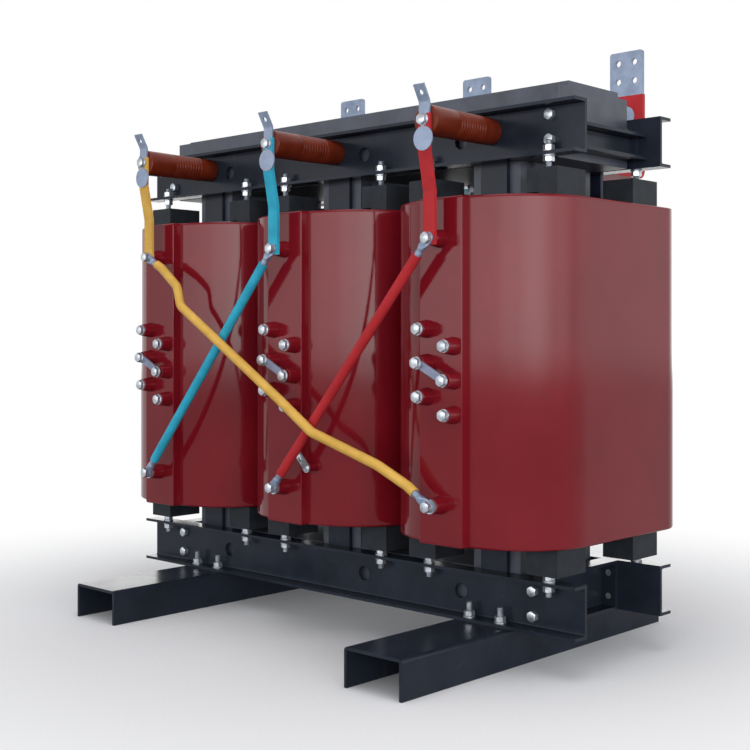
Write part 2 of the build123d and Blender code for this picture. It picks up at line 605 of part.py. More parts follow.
# ---- Delta rods ------------------------------------------------------------------------------------------
def lug(place, towards):
    """A crimp lug in an XZ plane: a palm round the terminal bolt, tapering to a barrel on the rod."""
    (x, y, z), (tx, tz) = place, towards
    turn = -math.degrees(math.atan2(tz - z, tx - x))
    barrel_start = LUG_REACH - LUG_BARREL_LENGTH
    outline = make_hull([*Circle(LUG_PALM / 2).edges(),
                         *(Pos(barrel_start, 0) * Rectangle(1, LUG_BARREL)).edges()])
    palm = extrude(outline, STRIP_THICKNESS / 2, both=True) - Cylinder(SHANK / 2, 2 * STRIP_THICKNESS)
    tube = Cylinder(LUG_BARREL / 2, LUG_BARREL_LENGTH, align=(Align.CENTER, Align.CENTER, Align.MIN))
    tube -= at(Cylinder(ROD_CORE_DIAMETER / 2, LUG_BARREL_LENGTH,
                        align=(Align.CENTER, Align.CENTER, Align.MIN)), 0, 0, LUG_BARREL_LENGTH / 5)
    palm += at(Rot(0, 90, 0) * tube, barrel_start)
    return at(Rot(0, turn, 0) * (Rot(90, 0, 0) * palm), x, y, z)


def along(place, towards, distance):
    """The point at a distance from a place, in its own XZ plane, on the way to an XZ point."""
    (x, y, z), (tx, tz) = place, towards
    length = math.hypot(tx - x, tz - z)
    return (x + (tx - x) * distance / length, y, z + (tz - z) * distance / length)


def rod_ends():
    """For each rod, the terminal at its top and the terminal at its foot."""
    top = {k: (x, LUG_Y, TOP_TERMINAL_Z) for k, x in PHASES.items()}
    foot = {k: (x, LUG_Y, BOTTOM_TERMINAL_Z) for k, x in PHASES.items()}
    return {"a": (top["a"], foot["c"]), "b": (top["b"], foot["a"]), "c": (top["c"], foot["b"])}


def long_rod_bends():
    rise = TOP_TERMINAL_Z - BOTTOM_TERMINAL_Z
    return [(sx * PHASE_PITCH, BOTTOM_TERMINAL_Z + sz * rise) for sx, sz in LONG_ROD_BENDS]


def rod_aims(phase):
    """The XZ point that each end's lug faces: the nearest bend of the long rod, or the other end."""
    start, end = rod_ends()[phase]
    if phase == "a":
        return long_rod_bends()[0], long_rod_bends()[-1]
    return (end[0], end[2]), (start[0], start[2])


def delta_rod(phase):
    """A stiff sleeved conductor from one coil's top terminal to another coil's foot."""
    start, end = rod_ends()[phase]
    aim_start, aim_end = rod_aims(phase)
    first, last = along(start, aim_start, LUG_REACH), along(end, aim_end, LUG_REACH)
    if phase == "a":
        bends = [(x, LONG_ROD_Y, z) for x, z in long_rod_bends()]
        bends = [along(start, aim_start, LUG_REACH + LUG_LEAD)] + bends
        bends = bends + [along(end, aim_end, LUG_REACH + LUG_LEAD)]
        path = FilletPolyline(first, *bends, last, radius=ROD_BEND)
    else:
        path = Line(first, last)
    rod = sweep(Plane(origin=path @ 0, z_dir=path % 0) * Circle(ROD_DIAMETER / 2), path)
    for place, base in ((start, first), (end, last)):
        inward = (Vector(*place) - Vector(*base)).normalized()
        core = Plane(origin=Vector(*base), z_dir=inward) * Circle(ROD_CORE_DIAMETER / 2)
        rod += extrude(core, LUG_BARREL_LENGTH * 0.7)
    return rod


def delta_lugs():
    lugs = []
    for phase in PHASES:
        start, end = rod_ends()[phase]
        aim_start, aim_end = rod_aims(phase)
        lugs += [lug(start, aim_start), lug(end, aim_end)]
    return lugs


def spare_lug():
    """A small crimp lug beside the middle coil's pad, its palm on a small boss and its barrel on the pad."""
    tail = Pos(0, SPARE_LUG_TAIL) * Rectangle(SPARE_LUG_BARREL, 1)
    outline = make_hull([*Circle(SPARE_LUG_PALM / 2).edges(), *tail.edges()])
    piece = extrude(outline, STRIP_THICKNESS) + extrude(RegularPolygon(SPARE_LUG_PALM / 3, 6), HEAD_HEIGHT)
    barrel = Cylinder(SPARE_LUG_BARREL / 2, SPARE_LUG_TAIL / 2, align=(Align.CENTER, Align.CENTER, Align.MIN))
    piece += at(Rot(-90, 0, 0) * barrel, 0, SPARE_LUG_TAIL / 2, SPARE_LUG_BARREL / 2)
    piece = towards_front(Rot(0, 0, SPARE_LUG_LEAN) * piece)
    return at(piece, *spare_lug_place())


# ---- Low-voltage bars --------------------------------------------------------------------------------------
def bar_points():
    """The bar's middle line in Y and Z, from the foil winding's end out to the connection plate."""
    y_foot = LV_OUTER[1] - BAR_THICKNESS / 2 - BAR_FOOT_INSET
    z_run = UPPER_CLAMP_Z + BAR_RUN_RISE
    return [(y_foot, COIL_TOP + LV_PROUD), (y_foot, z_run), (BAR_Y, z_run), (BAR_Y, BAR_TOP)]


def lv_busbar(x):
    bar = bent_strip(bar_points(), BAR_WIDTH, BAR_THICKNESS, BAR_BEND)
    corners = bar.edges().filter_by(Axis.Y).group_by(Axis.Z)[-1]
    bar = fillet(corners, BAR_CORNER)
    hole_z = BAR_TOP - BAR_HOLE_INSET
    for sx in (-1, 1):
        for drop in (0, BAR_HOLE_SPACING):
            hole = towards_rear(drum(BAR_HOLE, -BAR_THICKNESS, BAR_THICKNESS))
            bar -= at(hole, sx * BAR_HOLE_SPACING / 2, BAR_Y, hole_z - drop)
    return at(bar, x)


def bar_sleeve(x):
    points = bar_points()
    points[0] = (points[0][0], points[0][1] + BAR_THICKNESS)
    points[-1] = (BAR_Y, BAR_TOP - BAR_BARE_LENGTH)
    outer = bent_strip(points, BAR_WIDTH + 2 * SLEEVE_WALL, BAR_THICKNESS + 2 * SLEEVE_WALL, BAR_BEND)
    return at(outer - bent_strip(points, BAR_WIDTH, BAR_THICKNESS, BAR_BEND), x)


# ---- Assembly ----------------------------------------------------------------------------------------------
def nodes():
    lower_inner_flange = LOWER_CLAMP_TOP - STEEL
    parts = {
        "base_channel_left": base_channel(-1),
        "base_channel_right": base_channel(1),
        "lower_clamp_front": clamp(LOWER_CLAMP_Z, -1),
        "lower_clamp_rear": clamp(LOWER_CLAMP_Z, 1),
        "upper_clamp_front": clamp(UPPER_CLAMP_Z, -1, has_posts=True),
        "upper_clamp_rear": clamp(UPPER_CLAMP_Z, 1),
        "lower_end_tie_left": lower_end_tie(-1),
        "lower_end_tie_right": lower_end_tie(1),
        "upper_end_tie_left": upper_end_tie(-1),
        "upper_end_tie_right": upper_end_tie(1),
        "core_bottom_yoke": bottom_yoke(),
        "core_top_yoke": top_yoke(),
        "tie_plates": tie_plates(),
        "lower_blocks": coil_blocks(LOWER_BLOCK_Z, LOWER_BLOCK_Z + BLOCK_HEIGHT - LV_PROUD),
        "upper_blocks": coil_blocks(COIL_TOP, COIL_TOP),
        "lower_studs": pressure_studs(lower_inner_flange, 1),
        "upper_studs": pressure_studs(UPPER_CLAMP_Z, -1),
        "lower_stud_nuts": nuts_on_flange(lower_inner_flange, stud_places()),
        "upper_stud_nuts": nuts_on_flange(UPPER_CLAMP_Z, stud_places()),
        "foot_bolts": foot_bolts(),
        "foot_nuts": nuts_on_flange(LOWER_CLAMP_Z, foot_bolt_places(), below=False),
        "frame_bolts": frame_bolts(),
        "terminal_bolts": terminal_bolts(),
        "tap_bolts": tap_bolts(),
        "tap_links": tap_links(),
        "post_bolts": post_bolts(),
        "marker_discs": marker_discs(),
        "delta_lugs": delta_lugs(),
        "spare_lug": spare_lug(),
    }
    for phase, x in PHASES.items():
        parts["core_limb_" + phase] = limb(x)
        parts["lv_winding_" + phase] = lv_winding(x)
        parts["hv_coil_" + phase] = hv_coil(x)
        parts["post_insulator_" + phase] = post_insulator(x)
        parts["hv_lead_" + phase] = hv_lead(x)
        parts["lead_sleeve_" + phase] = lead_sleeve(x)
        parts["delta_rod_" + phase] = delta_rod(phase)
        parts["lv_busbar_" + phase] = lv_busbar(x)
        parts["bar_sleeve_" + phase] = bar_sleeve(x)
    return parts


def save(name, part):
    pieces = part if isinstance(part, list) else [part]
    solids = [at(solid, 0, FLOOR_SHIFT) for piece in pieces for solid in piece.solids()]
    export_step(Compound(children=solids), "parts/" + name + ".step")


os.makedirs("parts", exist_ok=True)
for node_name, node_part in nodes().items():
    save(node_name, node_part)
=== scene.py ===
"""An open cast-resin dry type transformer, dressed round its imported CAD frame."""

import math

import bmesh
import bpy
from bpy.props import FloatProperty, PointerProperty, StringProperty
from mathutils import Matrix, Vector


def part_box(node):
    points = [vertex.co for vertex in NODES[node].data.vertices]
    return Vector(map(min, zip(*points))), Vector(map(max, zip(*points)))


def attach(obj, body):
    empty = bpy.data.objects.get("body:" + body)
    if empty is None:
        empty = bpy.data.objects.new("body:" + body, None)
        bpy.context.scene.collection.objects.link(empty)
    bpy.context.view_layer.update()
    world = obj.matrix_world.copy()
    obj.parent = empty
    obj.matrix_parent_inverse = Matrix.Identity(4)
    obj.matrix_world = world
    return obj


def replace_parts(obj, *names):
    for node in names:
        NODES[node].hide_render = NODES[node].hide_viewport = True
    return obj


bl_info = {
    "name": "Dry Type Transformer",
    "version": (1, 0, 0),
    "blender": (4, 5, 0),
    "location": "3D View > Sidebar > Transformer",
    "description": "Dresses an open cast-resin transformer: coils, core, clamps, posts, leads, rods and bars",
    "category": "Object",
}

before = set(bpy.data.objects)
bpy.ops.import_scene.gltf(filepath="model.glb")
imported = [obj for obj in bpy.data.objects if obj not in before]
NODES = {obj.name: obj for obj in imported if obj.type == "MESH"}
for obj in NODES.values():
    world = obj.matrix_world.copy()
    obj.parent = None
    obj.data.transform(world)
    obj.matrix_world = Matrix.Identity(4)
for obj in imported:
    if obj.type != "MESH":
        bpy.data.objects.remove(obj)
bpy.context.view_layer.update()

MM = 0.001
PHASES = ("a", "b", "c")
ROOT = "root"

# Where things lie in the frame: the middles of the coils and of the row, the heights of the terminals, the
# top pair of taps and the rows below it, and the low-voltage bars' level run. The last one is half the
# thickness of the bars' sleeves.
PHASE_X = (-0.538, 0.0, 0.538)
ROW_Y = 58 * MM
TERMINAL_HEIGHTS = (0.4, 1.025)
TAP_TOP_Z = 0.7935
TAP_STEP = 80 * MM
TAP_HALF_SPACING = 40 * MM
TAP_HALF_STAGGER = 20 * MM
BAR_RUN_Z = 1.24
BAR_SLEEVE_HALF = 6.5 * MM

# The coils' plan, about their middle. The bore's reach is the distance to the centres of its corners.
COIL_HALF_X = 260 * MM
COIL_HALF_Y = 350 * MM
FRONT_CROWN = 400 * MM
REAR_CROWN = 480 * MM
REAR_CORNER = 90 * MM
PAD_FACE_Y = 368 * MM
PAD_NICK = 1.5 * MM
BORE_REACH = (70 * MM, 150 * MM)
BORE_CORNER = 120 * MM
RIM = 6 * MM

# The hardware is M16. The thread's depth is a share of its pitch, and the chamfer's circle one of the flats.
SHANK_RADIUS = 8 * MM
WASHER_RADIUS = 15 * MM
HEAD_HEIGHT = 10 * MM
STUD_TRIM = 10 * MM
THREAD_DEPTH = 0.6
CHAMFER_CIRCLE = 0.95
PALM_THICKNESS = 5 * MM
PACKING_RADIUS = 17 * MM
PACKING_HEIGHT = 8 * MM

# Points that are less than this apart along an axis lie in one plane across it.
LEVEL = 1e-5

GROOVES = 10
POST_EDGE = 3 * MM
POST_TAPER = 3 * MM

# The wall lamps stand in a ring. Their levels go by bearing in degrees, anticlockwise from +X.
WALL_LAMP_RING = 9.0
WALL_LAMP_Z = 1.72
WALL_LAMP_WIDTH = 9.8
WALL_LAMP_HEIGHT = 2.9
WALL_LAMP_FADES = (1.0, 0.3)
WALL_LAMP_LEVELS = {
    -180: 0.4, -150: 0.2, -120: 2.7, -90: 4.0, -60: 5.6, -30: 7.1,
    0: 3.9, 30: 1.7, 60: 0.6, 90: 2.2, 120: 2.8, 150: 1.8,
}


# ---- Colour ------------------------------------------------------------------------------------------
def linear(hex_colour):
    """The linear colour of an sRGB hex value, with full alpha."""
    channels = []
    for i in (0, 2, 4):
        value = int(hex_colour.lstrip("#")[i:i + 2], 16) / 255
        channels.append(value / 12.92 if value <= 0.04045 else ((value + 0.055) / 1.055) ** 2.4)
    return (*channels, 1.0)


# ---- Node trees --------------------------------------------------------------------------------------
def add(tree, kind, settings=None, **links):
    """Add one node. Settings are its attributes. Links are its inputs, as values or as sockets.

    An input goes by its name, with underscores for spaces, or by its index, such as _0.
    """
    node = tree.nodes.new(kind)
    for name, value in (settings or {}).items():
        setattr(node, name, value)
    for name, value in links.items():
        key = int(name[1:]) if name[0] == "_" and name[1:].isdigit() else name.replace("_", " ")
        socket = node.inputs[key]
        if isinstance(value, bpy.types.NodeSocket):
            tree.links.new(value, socket)
        else:
            socket.default_value = value
    return node


def new_material(name):
    """An empty material, its tree, and the position of a point in the object's own space, in metres."""
    material = bpy.data.materials.new(name)
    material.use_nodes = True
    tree = material.node_tree
    tree.nodes.clear()
    return material, tree, add(tree, "ShaderNodeTexCoord").outputs["Object"]


def per_metre(millimetres):
    """The texture scale whose pattern repeats every so many millimetres."""
    return 1.0 / (millimetres * MM)


def mottle(tree, at, size, detail, roughness, dark, light):
    """A cloudy pattern of a size in millimetres, and two near shades of one finish mixed by it."""
    cloud = add(tree, "ShaderNodeTexNoise", Vector=at, Scale=per_metre(size), Detail=detail,
                Roughness=roughness)
    ramp = add(tree, "ShaderNodeValToRGB", Fac=cloud.outputs["Fac"])
    for element, position, shade in zip(ramp.color_ramp.elements, (0.35, 0.65), (dark, light)):
        element.position = position
        element.color = linear(shade)
    return cloud.outputs["Fac"], ramp.outputs["Color"]


def seen_rays(tree):
    """A factor that is one for camera, glossy and transmission rays, and zero for those that light things."""
    path = add(tree, "ShaderNodeLightPath")
    seen = path.outputs["Is Camera Ray"]
    for ray in ("Is Glossy Ray", "Is Transmission Ray"):
        seen = add(tree, "ShaderNodeMath", {"operation": "MAXIMUM"}, _0=seen, _1=path.outputs[ray]).outputs[0]
    return seen


def finish_shader(tree, shader):
    """Join a shader to the material's output."""
    output = tree.nodes.new("ShaderNodeOutputMaterial")
    tree.links.new(shader.outputs[0], output.inputs["Surface"])


# ---- Materials ---------------------------------------------------------------------------------------
def cast_resin(colours):
    """Filled epoxy cast in a polished mould: deep maroon, mirror-like, with a faint long ripple."""
    material, tree, at = new_material("cast epoxy resin, maroon")
    cloud, colour = mottle(tree, at, 180, 3.0, 0.5, colours.resin_dark, colours.resin_light)
    ripple = add(tree, "ShaderNodeTexNoise", Vector=at, Scale=per_metre(70), Detail=1.0, Roughness=0.4)
    # Filler grain is a tenth of a millimetre. It is drawn at 2 mm so that it shows.
    grain = add(tree, "ShaderNodeTexNoise", Vector=at, Scale=per_metre(2.0), Detail=2.0, Roughness=0.6)
    low = add(tree, "ShaderNodeBump", Strength=0.10, Distance=0.6 * MM, Height=ripple.outputs["Fac"])
    fine = add(tree, "ShaderNodeBump", Strength=0.05, Distance=0.05 * MM, Height=grain.outputs["Fac"],
               Normal=low.outputs["Normal"])
    rough = add(tree, "ShaderNodeMapRange", Value=cloud, To_Min=0.08, To_Max=0.12)
    shader = add(tree, "ShaderNodeBsdfPrincipled", Base_Color=colour, Roughness=rough.outputs["Result"],
                 Normal=fine.outputs["Normal"], Specular_IOR_Level=0.2)
    finish_shader(tree, shader)
    return material


def painted_steel(colours):
    """Hot-rolled steel under semi-gloss enamel: nearly black blue, slight orange peel, dusty marks."""
    material, tree, at = new_material("semi-gloss enamel on steel")
    cloud, paint = mottle(tree, at, 120, 5.0, 0.6, colours.steel_dark, colours.steel_light)
    # Orange peel is about 2 mm across. It is drawn at 5 mm so that it shows.
    peel = add(tree, "ShaderNodeTexNoise", Vector=at, Scale=per_metre(5), Detail=2.0, Roughness=0.5)
    mark = add(tree, "ShaderNodeTexNoise", Vector=at, Scale=per_metre(28), Detail=6.0, Roughness=0.7)
    dust = add(tree, "ShaderNodeMapRange", Value=mark.outputs["Fac"], From_Min=0.62, From_Max=0.80,
               To_Max=0.35)
    colour = add(tree, "ShaderNodeMix", {"data_type": "RGBA"}, Factor=dust.outputs["Result"],
                 _6=paint, _7=linear("#4A505B"))
    bump = add(tree, "ShaderNodeBump", Strength=0.12, Distance=0.12 * MM, Height=peel.outputs["Fac"])
    rough = add(tree, "ShaderNodeMapRange", Value=cloud, To_Min=0.17, To_Max=0.33)
    shader = add(tree, "ShaderNodeBsdfPrincipled", Base_Color=colour.outputs[2],
                 Roughness=rough.outputs["Result"], Normal=bump.outputs["Normal"], Specular_IOR_Level=0.12)
    finish_shader(tree, shader)
    return material


def sheet_stack(colours):
    """Grain-oriented electrical sheet, stacked along Y and lacquered: the edges show as fine lines."""
    material, tree, at = new_material("lacquered electrical sheet")
    cloud, lacquer = mottle(tree, at, 90, 4.0, 0.6, colours.core_dark, colours.core_light)
    # The sheets are 0.3 mm thick. Their edges are drawn 8 mm apart so that they show. The texture's own
    # bands are pi / 10 of a unit apart.
    edges = add(tree, "ShaderNodeTexWave", {"bands_direction": "Y", "wave_profile": "SAW"}, Vector=at,
                Scale=per_metre(8.0) / 10 * math.pi, Distortion=0.6, Detail=2.0, Detail_Scale=2.0)
    line = add(tree, "ShaderNodeMapRange", Value=edges.outputs["Fac"], From_Min=0.86, To_Max=0.30)
    colour = add(tree, "ShaderNodeMix", {"data_type": "RGBA"}, Factor=line.outputs["Result"],
                 _6=lacquer, _7=linear("#17191E"))
    bump = add(tree, "ShaderNodeBump", Strength=0.35, Distance=0.25 * MM, Height=edges.outputs["Fac"])
    rough = add(tree, "ShaderNodeMapRange", Value=cloud, To_Min=0.34, To_Max=0.5)
    shader = add(tree, "ShaderNodeBsdfPrincipled", Base_Color=colour.outputs[2],
                 Roughness=rough.outputs["Result"], Normal=bump.outputs["Normal"], Specular_IOR_Level=0.3)
    finish_shader(tree, shader)
    return material


def moulded_resin(name, dark, light, roughness, specular):
    """Moulded filled resin: a close satin surface with a fine even grain."""
    material, tree, at = new_material(name)
    cloud, colour = mottle(tree, at, 40, 4.0, 0.55, dark, light)
    # Mould grain is about 0.3 mm. It is drawn at 1.5 mm so that it shows.
    grain = add(tree, "ShaderNodeTexNoise", Vector=at, Scale=per_metre(1.5), Detail=3.0, Roughness=0.6)
    bump = add(tree, "ShaderNodeBump", Strength=0.2, Distance=0.08 * MM, Height=grain.outputs["Fac"])
    rough = add(tree, "ShaderNodeMapRange", Value=cloud, To_Min=roughness - 0.05, To_Max=roughness + 0.06)
    shader = add(tree, "ShaderNodeBsdfPrincipled", Base_Color=colour, Roughness=rough.outputs["Result"],
                 Normal=bump.outputs["Normal"], Specular_IOR_Level=specular)
    finish_shader(tree, shader)
    return material


def plated_steel(colours):
    """Zinc-plated, blue-passivated steel: pale, slightly blue, with a soft uneven lustre."""
    material, tree, at = new_material("blue-passivated zinc plate")
    cloud, colour = mottle(tree, at, 14, 4.0, 0.6, colours.zinc_dark, colours.zinc_light)
    bump = add(tree, "ShaderNodeBump", Strength=0.15, Distance=0.06 * MM, Height=cloud)
    rough = add(tree, "ShaderNodeMapRange", Value=cloud, To_Min=0.24, To_Max=0.36)
    shader = add(tree, "ShaderNodeBsdfPrincipled", Base_Color=colour, Roughness=rough.outputs["Result"],
                 Normal=bump.outputs["Normal"], Metallic=0.75)
    finish_shader(tree, shader)
    return material


def tinned_bar(name, dark, light, metallic):
    """Tinned copper or aluminium bar: satin, drawn lengthwise, so it has fine streaks along Z."""
    material, tree, at = new_material(name)
    colour = mottle(tree, at, 35, 4.0, 0.6, dark, light)[1]
    # Drawing marks are a few hundredths of a millimetre. They are drawn 1.5 mm wide so that they show.
    stretch = add(tree, "ShaderNodeMapping", Vector=at, Scale=(per_metre(1.5), per_metre(1.5), per_metre(60)))
    streak = add(tree, "ShaderNodeTexNoise", Vector=stretch.outputs["Vector"], Scale=1.0, Detail=3.0,
                 Roughness=0.6)
    bump = add(tree, "ShaderNodeBump", Strength=0.12, Distance=0.05 * MM, Height=streak.outputs["Fac"])
    rough = add(tree, "ShaderNodeMapRange", Value=streak.outputs["Fac"], To_Min=0.3, To_Max=0.46)
    shader = add(tree, "ShaderNodeBsdfPrincipled", Base_Color=colour, Roughness=rough.outputs["Result"],
                 Normal=bump.outputs["Normal"], Metallic=metallic)
    finish_shader(tree, shader)
    return material


def shrink_sleeve(name, dark, light):
    """Polyolefin sleeve shrunk on with hot air: even colour, satin, with slight puckers across it."""
    material, tree, at = new_material(name)
    cloud, colour = mottle(tree, at, 50, 3.0, 0.5, dark, light)
    stretch = add(tree, "ShaderNodeMapping", Vector=at, Scale=(per_metre(60), per_metre(60), per_metre(9)))
    pucker = add(tree, "ShaderNodeTexNoise", Vector=stretch.outputs["Vector"], Scale=1.0, Detail=2.0,
                 Roughness=0.5)
    bump = add(tree, "ShaderNodeBump", Strength=0.25, Distance=0.35 * MM, Height=pucker.outputs["Fac"])
    rough = add(tree, "ShaderNodeMapRange", Value=cloud, To_Min=0.45, To_Max=0.57)
    shader = add(tree, "ShaderNodeBsdfPrincipled", Base_Color=colour, Roughness=rough.outputs["Result"],
                 Normal=bump.outputs["Normal"], Specular_IOR_Level=0.1)
    finish_shader(tree, shader)
    return material


# ---- Meshes ------------------------------------------------------------------------------------------
def dress(node, material):
    """Give a CAD node its finish."""
    mesh = NODES[node].data
    mesh.materials.clear()
    mesh.materials.append(material)


def piece(name, bm, material, smooth_angle=35.0):
    """Make an object of a finished bmesh, with its finish, riding on the root body.

    Edges whose faces meet at more than the smooth angle, in degrees, stay sharp.
    """
    bmesh.ops.recalc_face_normals(bm, faces=bm.faces)
    mesh = bpy.data.meshes.new(name)
    bm.to_mesh(mesh)
    bm.free()
    mesh.materials.append(material)
    mesh.shade_smooth()
    mesh.set_sharp_from_angle(angle=math.radians(smooth_angle))
    thing = bpy.data.objects.new(name, mesh)
    bpy.context.scene.collection.objects.link(thing)
    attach(thing, ROOT)
    return thing


def islands(node):
    """The separate solids of a CAD node, each as its list of points.

    Points that round to the same hundredth of a millimetre are taken as one.
    """
    mesh = NODES[node].data
    key_of = [tuple(round(c * 1e5) for c in v.co) for v in mesh.vertices]
    parent = {key: key for key in key_of}

    def root(key):
        while parent[key] != key:
            parent[key] = parent[parent[key]]
            key = parent[key]
        return key

    for polygon in mesh.polygons:
        first = root(key_of[polygon.vertices[0]])
        for index in polygon.vertices[1:]:
            parent[root(key_of[index])] = first
    groups = {}
    for vertex, key in zip(mesh.vertices, key_of):
        groups.setdefault(root(key), []).append(vertex.co.copy())
    return [groups[k] for k in sorted(groups)]


def skin(bm, rings, capped=False):
    """Join closed rings of vertices into a wall, with a face over each of its ends where it is capped."""
    for low, high in zip(rings, rings[1:]):
        for i in range(len(low)):
            j = (i + 1) % len(low)
            bm.faces.new((low[i], low[j], high[j], high[i]))
    if capped:
        bm.faces.new(rings[0])
        bm.faces.new(rings[-1])


def circle(bm, radius, height, matrix, steps):
    """A ring of vertices about the matrix's Z axis."""
    angles = [2 * math.pi * i / steps for i in range(steps)]
    return [bm.verts.new(matrix @ Vector((radius * math.cos(a), radius * math.sin(a), height)))
            for a in angles]


def rounded_rectangle(reach_x, reach_y, corner, steps):
    """Points anticlockwise round a rectangle with rounded corners. The reaches go to the corners' centres."""
    points = []
    for side_x, side_y, start in ((1, 1, 0), (-1, 1, 90), (-1, -1, 180), (1, -1, 270)):
        for i in range(steps + 1):
            angle = math.radians(start + 90 * i / steps)
            points.append((side_x * reach_x + corner * math.cos(angle),
                           side_y * reach_y + corner * math.sin(angle)))
    return points


def turn(bm, profile, matrix, steps=32):
    """Turn a profile of (radius, height) pairs about the matrix's Z axis. Both ends close on the axis."""
    rings = []
    for radius, height in profile:
        if radius:
            rings.append(circle(bm, radius, height, matrix, steps))
        else:
            rings.append([bm.verts.new(matrix @ Vector((0, 0, height)))])
    for low, high in zip(rings, rings[1:]):
        for i in range(steps):
            j = (i + 1) % steps
            corners = [low[i % len(low)], low[j % len(low)], high[j % len(high)], high[i % len(high)]]
            unique = list(dict.fromkeys(corners))
            if len(unique) > 2:
                bm.faces.new(unique)


def drum(bm, radius, height, matrix, steps=32):
    """A plain round drum."""
    turn(bm, [(0, 0), (radius, 0), (radius, height), (0, height)], matrix, steps)


def hex_prism(bm, flats, height, matrix, both_ends=False):
    """A hexagon turned to a thirty-degree chamfer at its top or at both ends, as on a forged head or nut."""
    steps = 36
    inner = flats / 2 * CHAMFER_CIRCLE
    slope = math.tan(math.radians(30))
    rows = [[], [], [], []]
    for i in range(steps):
        angle = 2 * math.pi * i / steps
        off = (angle + math.pi / 6) % (math.pi / 3) - math.pi / 6
        radius = flats / 2 / math.cos(off)
        drop = (radius - inner) * slope
        heights = (0.0, drop if both_ends else 0.0, height - drop, height)
        for row, r, z in zip(rows, (inner, radius, radius, inner), heights):
            row.append(bm.verts.new(matrix @ Vector((r * math.cos(angle), r * math.sin(angle), z))))
    skin(bm, rows)
    bm.faces.new(reversed(rows[0]))
    bm.faces.new(rows[-1])


def threaded_rod(bm, radius, length, pitch, matrix):
    """A rod with a helical thread along its whole length and a flat face at each end."""
    steps = 16
    root = radius - THREAD_DEPTH * pitch
    rows = []
    for k in range(int(2 * length / pitch) + 3):
        row = []
        for j in range(steps):
            z = (k / 2 - 1 + j / steps) * pitch
            clamped = min(max(z, 0.0), length)
            r = radius if k % 2 == 0 and clamped == z else root
            angle = 2 * math.pi * j / steps
            row.append(bm.verts.new(matrix @ Vector((r * math.cos(angle), r * math.sin(angle), clamped))))
        rows.append(row)
    # Two rows make one turn, so each row runs on into the first point of the row two further on.
    rows = [row + later[:1] for row, later in zip(rows, rows[2:])]
    for low, high in zip(rows, rows[1:]):
        for j in range(steps):
            bm.faces.new((low[j], low[j + 1], high[j + 1], high[j]))
    for z in (0.0, length):
        bm.faces.new(circle(bm, root, z, matrix, steps))


def spin_to(axis, origin):
    """A matrix whose Z axis points along the given axis, with its foot at the origin given."""
    return Matrix.Translation(origin) @ Vector(axis).to_track_quat("Z", "Y").to_matrix().to_4x4()


def limits(points):
    """The lowest and the highest corner of the box round some points."""
    low = Vector([min(p[i] for p in points) for i in range(3)])
    high = Vector([max(p[i] for p in points) for i in range(3)])
    return low, high


# ---- Settings ----------------------------------------------------------------------------------------
def hex_property(name, description, default):
    """A colour as an sRGB hex value."""
    return StringProperty(name=name, description=description, default=default)


class TransformerColours(bpy.types.PropertyGroup):
    """Colours of the finishes, as sRGB hex values."""

    resin_dark: hex_property("Cast resin, dark", "Darker shade of the coils' resin", "#6C0E19")
    resin_light: hex_property("Cast resin, light", "Lighter shade of the coils' resin", "#73131E")
    steel_dark: hex_property("Frame paint, dark", "Darker shade of the frame's enamel", "#1D222B")
    steel_light: hex_property("Frame paint, light", "Lighter shade of the frame's enamel", "#262B36")
    core_dark: hex_property("Core, dark", "Darker shade of the lacquered sheet", "#3A3D47")
    core_light: hex_property("Core, light", "Lighter shade of the lacquered sheet", "#4A4E59")
    post_dark: hex_property("Posts, dark", "Darker shade of the posts' resin", "#5A1D0D")
    post_light: hex_property("Posts, light", "Lighter shade of the posts' resin", "#6A2614")
    block_dark: hex_property("Blocks, dark", "Darker shade of the coil blocks", "#26292E")
    block_light: hex_property("Blocks, light", "Lighter shade of the coil blocks", "#2E3237")
    zinc_dark: hex_property("Zinc, dark", "Darker shade of the plated hardware", "#9197A0")
    zinc_light: hex_property("Zinc, light", "Lighter shade of the plated hardware", "#BDC2C9")
    yellow: hex_property("Yellow phase", "Sleeves of the first phase", "#D3A854")
    cyan: hex_property("Cyan phase", "Sleeves of the second phase", "#35A5C2")
    red: hex_property("Red phase", "Sleeves of the third phase", "#AF2E33")


class TransformerSizes(bpy.types.PropertyGroup):
    """Sizes of what the scene adds to the frame."""

    front_corner: FloatProperty(name="Coil corner", description="Radius of the coils' two front corners",
                                default=195.0 * MM, min=20 * MM, unit="LENGTH")
    pad_width: FloatProperty(name="Pad width", description="Width of the coils' terminal pads",
                             default=130.0 * MM, min=50 * MM, unit="LENGTH")
    thread_pitch: FloatProperty(name="Thread pitch", description="Pitch of the studs' thread",
                                default=2.0 * MM, min=0.5 * MM, unit="LENGTH")
    flats: FloatProperty(name="Across flats", description="Width of the hexagons across their flats",
                         default=24.0 * MM, min=5 * MM, unit="LENGTH")
    washer: FloatProperty(name="Washer thickness", description="Thickness of the washers",
                          default=3.0 * MM, min=0.5 * MM, unit="LENGTH")
    groove_pitch: FloatProperty(name="Groove pitch", description="Distance between the posts' grooves",
                                default=10.0 * MM, min=2 * MM, unit="LENGTH")
    groove_depth: FloatProperty(name="Groove depth", description="Depth of the posts' grooves",
                                default=1.8 * MM, min=0.2 * MM, unit="LENGTH")
    floor_reach: FloatProperty(name="Floor reach", description="Half the width of the floor",
                               default=9.0, min=2.0, unit="LENGTH")


